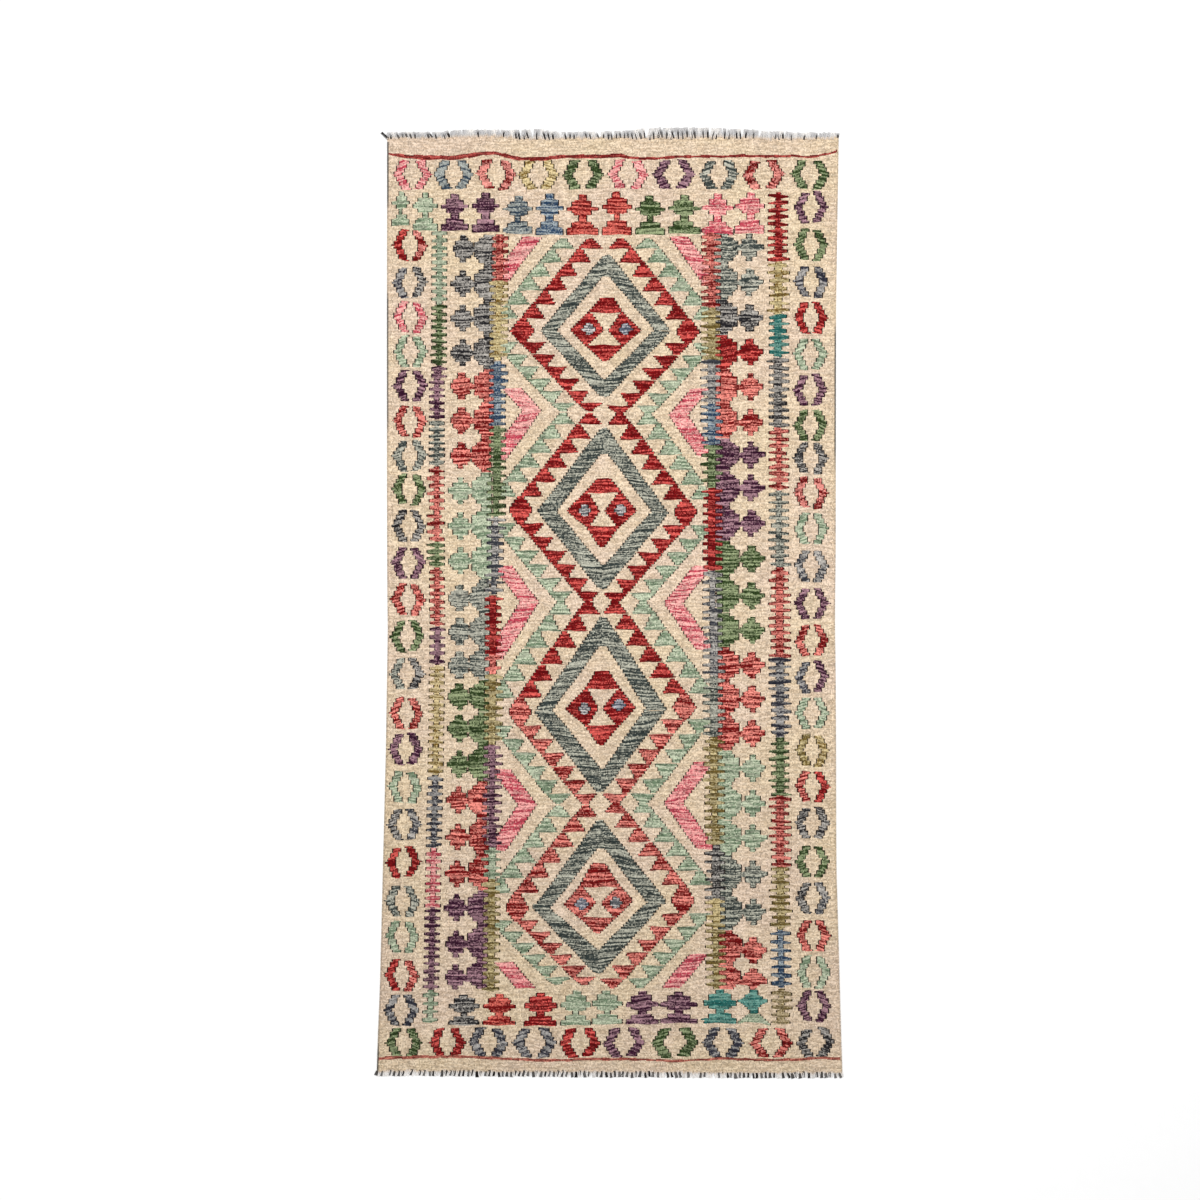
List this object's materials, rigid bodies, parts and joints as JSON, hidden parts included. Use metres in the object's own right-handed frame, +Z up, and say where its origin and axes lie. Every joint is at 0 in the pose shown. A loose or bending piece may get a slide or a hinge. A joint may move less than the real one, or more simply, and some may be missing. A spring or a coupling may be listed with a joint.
{
  "type": "kilim rug",
  "caption": "Long flat-woven wool rug with a short warp fringe at both ends, lying flat, its edges slightly uneven as a hand-woven cloth's are.",
  "frame": {"origin": "on the floor under the middle of the rug's box, fringes included", "axes": "+Y along the rug's length, towards its upper fringe; +X across it; +Z up from the floor"},
  "size_m": [0.9762, 1.9958, 0.0061],
  "materials": {
    "wool_weave": "matte weft-faced wool tapestry weave",
    "cotton_warp": "matte plied cotton yarn"
  },
  "bodies": {
    "root": {"kilim_cloth": "wool_weave", "fringe_lower": "cotton_warp", "fringe_upper": "cotton_warp"}
  },
  "joints": []
}
